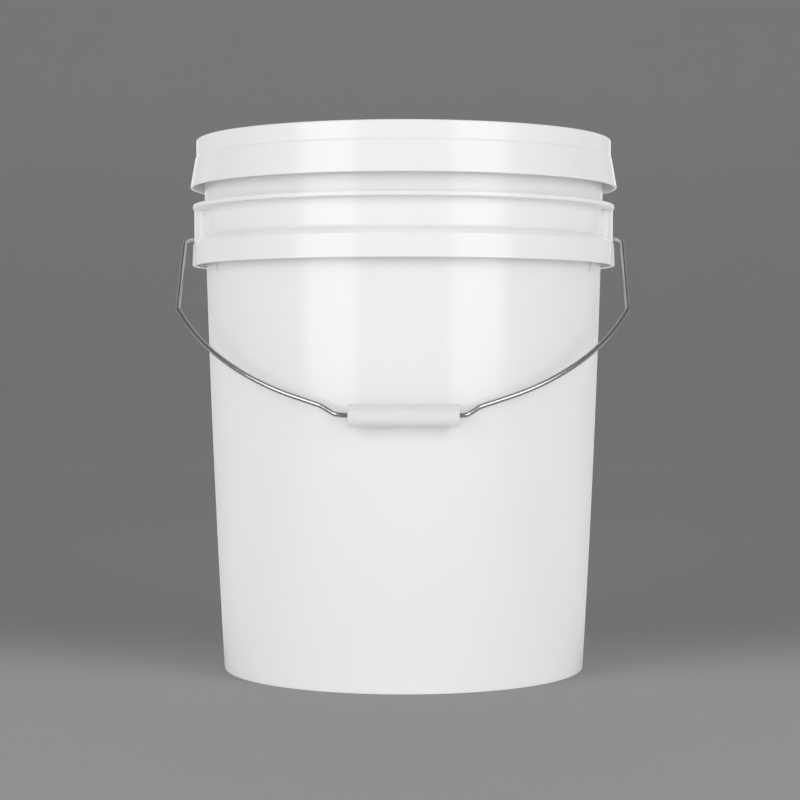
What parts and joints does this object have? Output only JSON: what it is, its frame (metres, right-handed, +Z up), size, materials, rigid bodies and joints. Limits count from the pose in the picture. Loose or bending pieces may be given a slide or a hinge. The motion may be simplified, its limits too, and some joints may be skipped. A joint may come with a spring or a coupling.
{
  "type": "pail",
  "caption": "Round tapered plastic pail with a push-on lid, a stiffening band, a wire bail and a tube grip.",
  "frame": {"origin": "centre of the foot ring, on the surface that the pail stands on", "axes": "+Z up along the pail's axis, the ears on +X and -X, and the front, where the bail rests, towards -Y"},
  "size_m": [0.323, 0.3107, 0.384],
  "materials": {
    "body_plastic": "smooth white moulded plastic with a soft gloss",
    "lid_plastic": "smooth white moulded plastic with a soft gloss",
    "gasket_rubber": "matt pale rubber",
    "bail_steel": "bright drawn galvanised wire",
    "grip_plastic": "white moulded plastic, slightly softer gloss"
  },
  "bodies": {
    "pail": {"pail_body": "body_plastic"},
    "lid": {"lid": "lid_plastic", "lid_gasket": "gasket_rubber"},
    "bail": {"bail_wire": "bail_steel"},
    "grip": {"grip": "grip_plastic"}
  },
  "joints": [
    {"name": "lid_lift", "type": "slide", "parent": "pail", "child": "lid", "axis": [0, 0, 1], "range_m": [0, 0.15]},
    {"name": "bail_swing", "type": "hinge", "parent": "pail", "child": "bail", "pos_m": [0, 0, 0.3135], "axis": [-1, 0, 0], "range_deg": [0, 260.7]},
    {"name": "grip_spin", "type": "hinge", "parent": "bail", "child": "grip", "pos_m": [0, -0.14752, 0.18797], "axis": [1, 0, 0], "continuous": true}
  ]
}
